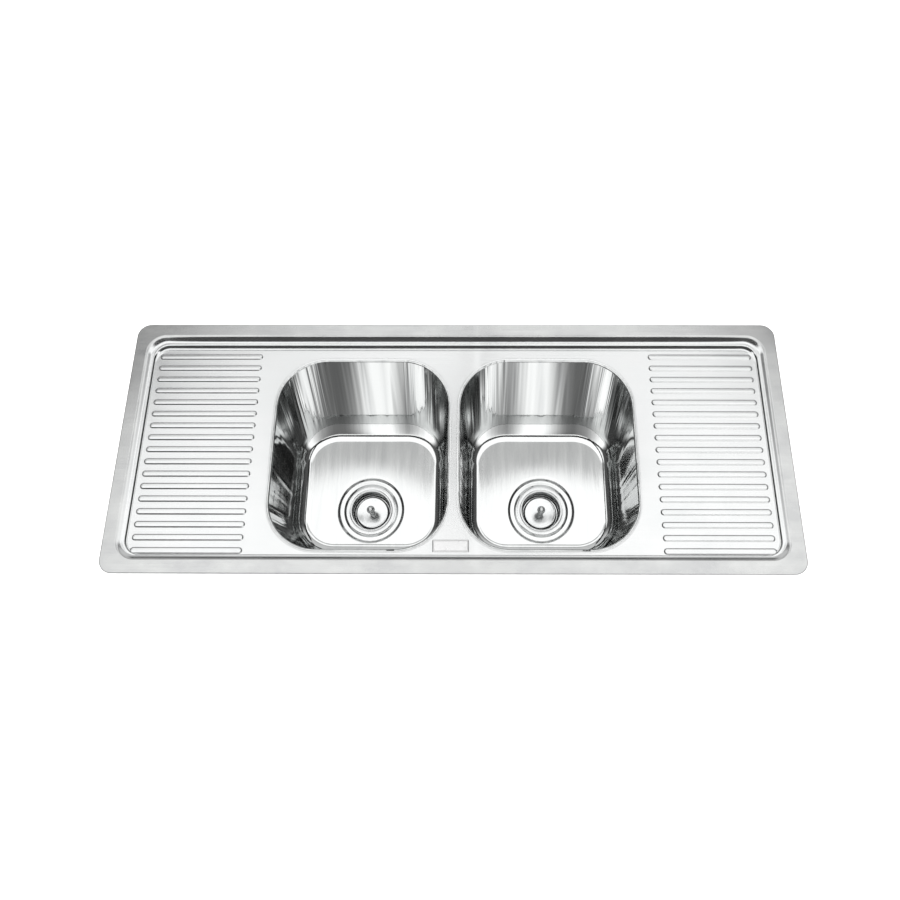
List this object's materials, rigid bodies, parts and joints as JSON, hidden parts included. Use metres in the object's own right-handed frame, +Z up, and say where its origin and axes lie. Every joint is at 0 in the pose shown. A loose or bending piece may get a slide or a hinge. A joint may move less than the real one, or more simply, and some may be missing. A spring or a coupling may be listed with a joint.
{
  "type": "double bowl inset sink with drainers",
  "caption": "Inset stainless steel sink top with side-by-side bowls between ribbed drainers, lift-out basket wastes, overflow hose and screw-up rim clips.",
  "frame": {"origin": "centre of the rim's outline, on the worktop surface that the rim seal rests on", "axes": "+X to the right along the length, +Y to the back, +Z up"},
  "size_m": [1.28, 0.5, 0.3719],
  "materials": {
    "deck_steel": "bright satin pressed stainless sheet",
    "bowl_steel": "drawn stainless, polished with fine vertical draw marks",
    "waste_steel": "polished stainless waste fitting",
    "knob_chrome": "polished",
    "badge_metal": "embossed satin plate, blank",
    "zinc_steel": "zinc plated",
    "galvanised_steel": "galvanised",
    "black_rubber": "matt",
    "seal_foam": "closed-cell foam",
    "pad_rubber": "textured sound-deadening pad",
    "white_plastic": "moulded polypropylene",
    "grey_plastic": "moulded polypropylene",
    "hose_plastic": "corrugated flexible hose",
    "fibre": "pressed fibre washer"
  },
  "bodies": {
    "sink": {"sink_deck": "deck_steel", "rim_seal": "seal_foam", "clip_brackets": "zinc_steel", "badge_plate": "badge_metal", "earth_tag": "deck_steel", "earth_screw": "zinc_steel", "earth_nut": "zinc_steel", "overflow_gasket": "black_rubber", "overflow_housing": "grey_plastic", "overflow_studs": "deck_steel", "overflow_nuts": "zinc_steel", "overflow_hose": "hose_plastic", "hose_clamps": "zinc_steel", "left_bowl": "bowl_steel", "left_sound_pad": "pad_rubber", "left_stiffener": "galvanised_steel", "left_drain_seal": "black_rubber", "left_strainer_body": "waste_steel", "left_under_washer": "black_rubber", "left_friction_ring": "fibre", "left_lock_nut": "grey_plastic", "left_tailpiece": "white_plastic", "left_tailpiece_washer": "black_rubber", "left_coupling_nut": "white_plastic", "right_bowl": "bowl_steel", "right_sound_pad": "pad_rubber", "right_stiffener": "galvanised_steel", "right_drain_seal": "black_rubber", "right_strainer_body": "waste_steel", "right_under_washer": "black_rubber", "right_friction_ring": "fibre", "right_lock_nut": "grey_plastic", "right_tailpiece": "white_plastic", "right_tailpiece_washer": "black_rubber", "right_coupling_nut": "white_plastic"},
    "left_basket_unit": {"left_basket": "waste_steel", "left_basket_cover": "waste_steel", "left_basket_post": "knob_chrome", "left_basket_stopper": "black_rubber"},
    "right_basket_unit": {"right_basket": "waste_steel", "right_basket_cover": "waste_steel", "right_basket_post": "knob_chrome", "right_basket_stopper": "black_rubber"},
    "front_left_jaw": {"front_left_clip_jaw": "zinc_steel"},
    "front_left_screw": {"front_left_clip_screw": "zinc_steel"},
    "front_middle_jaw": {"front_middle_clip_jaw": "zinc_steel"},
    "front_middle_screw": {"front_middle_clip_screw": "zinc_steel"},
    "front_right_jaw": {"front_right_clip_jaw": "zinc_steel"},
    "front_right_screw": {"front_right_clip_screw": "zinc_steel"},
    "back_left_jaw": {"back_left_clip_jaw": "zinc_steel"},
    "back_left_screw": {"back_left_clip_screw": "zinc_steel"},
    "back_middle_jaw": {"back_middle_clip_jaw": "zinc_steel"},
    "back_middle_screw": {"back_middle_clip_screw": "zinc_steel"},
    "back_right_jaw": {"back_right_clip_jaw": "zinc_steel"},
    "back_right_screw": {"back_right_clip_screw": "zinc_steel"},
    "left_end_jaw": {"left_end_clip_jaw": "zinc_steel"},
    "left_end_screw": {"left_end_clip_screw": "zinc_steel"},
    "right_end_jaw": {"right_end_clip_jaw": "zinc_steel"},
    "right_end_screw": {"right_end_clip_screw": "zinc_steel"}
  },
  "joints": [
    {"name": "left_basket_lift", "type": "slide", "parent": "sink", "child": "left_basket_unit", "axis": [0, 0, 1], "range_m": [0, 0.26]},
    {"name": "right_basket_lift", "type": "slide", "parent": "sink", "child": "right_basket_unit", "axis": [0, 0, 1], "range_m": [0, 0.26]},
    {"name": "front_left_jaw_lift", "type": "slide", "parent": "sink", "child": "front_left_jaw", "axis": [0, 0, 1], "range_m": [-0.016, 0]},
    {"name": "front_left_screw_turn", "type": "hinge", "parent": "front_left_jaw", "child": "front_left_screw", "pos_m": [-0.43, -0.234, -0.03], "axis": [0, 0, 1], "range_deg": [-7200.5, 0]},
    {"name": "front_middle_jaw_lift", "type": "slide", "parent": "sink", "child": "front_middle_jaw", "axis": [0, 0, 1], "range_m": [-0.016, 0]},
    {"name": "front_middle_screw_turn", "type": "hinge", "parent": "front_middle_jaw", "child": "front_middle_screw", "pos_m": [0, -0.234, -0.03], "axis": [0, 0, 1], "range_deg": [-7200.5, 0]},
    {"name": "front_right_jaw_lift", "type": "slide", "parent": "sink", "child": "front_right_jaw", "axis": [0, 0, 1], "range_m": [-0.016, 0]},
    {"name": "front_right_screw_turn", "type": "hinge", "parent": "front_right_jaw", "child": "front_right_screw", "pos_m": [0.43, -0.234, -0.03], "axis": [0, 0, 1], "range_deg": [-7200.5, 0]},
    {"name": "back_left_jaw_lift", "type": "slide", "parent": "sink", "child": "back_left_jaw", "axis": [0, 0, 1], "range_m": [-0.016, 0]},
    {"name": "back_left_screw_turn", "type": "hinge", "parent": "back_left_jaw", "child": "back_left_screw", "pos_m": [-0.43, 0.234, -0.03], "axis": [0, 0, 1], "range_deg": [-7200.5, 0]},
    {"name": "back_middle_jaw_lift", "type": "slide", "parent": "sink", "child": "back_middle_jaw", "axis": [0, 0, 1], "range_m": [-0.016, 0]},
    {"name": "back_middle_screw_turn", "type": "hinge", "parent": "back_middle_jaw", "child": "back_middle_screw", "pos_m": [0, 0.234, -0.03], "axis": [0, 0, 1], "range_deg": [-7200.5, 0]},
    {"name": "back_right_jaw_lift", "type": "slide", "parent": "sink", "child": "back_right_jaw", "axis": [0, 0, 1], "range_m": [-0.016, 0]},
    {"name": "back_right_screw_turn", "type": "hinge", "parent": "back_right_jaw", "child": "back_right_screw", "pos_m": [0.43, 0.234, -0.03], "axis": [0, 0, 1], "range_deg": [-7200.5, 0]},
    {"name": "left_end_jaw_lift", "type": "slide", "parent": "sink", "child": "left_end_jaw", "axis": [0, 0, 1], "range_m": [-0.016, 0]},
    {"name": "left_end_screw_turn", "type": "hinge", "parent": "left_end_jaw", "child": "left_end_screw", "pos_m": [-0.624, 0, -0.03], "axis": [0, 0, 1], "range_deg": [-7200.5, 0]},
    {"name": "right_end_jaw_lift", "type": "slide", "parent": "sink", "child": "right_end_jaw", "axis": [0, 0, 1], "range_m": [-0.016, 0]},
    {"name": "right_end_screw_turn", "type": "hinge", "parent": "right_end_jaw", "child": "right_end_screw", "pos_m": [0.624, 0, -0.03], "axis": [0, 0, 1], "range_deg": [-7200.5, 0]}
  ],
  "couplings": [
    {"joint": "front_left_screw_turn", "follows": "front_left_jaw_lift", "rad_per_m": 7854},
    {"joint": "front_middle_screw_turn", "follows": "front_middle_jaw_lift", "rad_per_m": 7854},
    {"joint": "front_right_screw_turn", "follows": "front_right_jaw_lift", "rad_per_m": 7854},
    {"joint": "back_left_screw_turn", "follows": "back_left_jaw_lift", "rad_per_m": 7854},
    {"joint": "back_middle_screw_turn", "follows": "back_middle_jaw_lift", "rad_per_m": 7854},
    {"joint": "back_right_screw_turn", "follows": "back_right_jaw_lift", "rad_per_m": 7854},
    {"joint": "left_end_screw_turn", "follows": "left_end_jaw_lift", "rad_per_m": 7854},
    {"joint": "right_end_screw_turn", "follows": "right_end_jaw_lift", "rad_per_m": 7854}
  ]
}
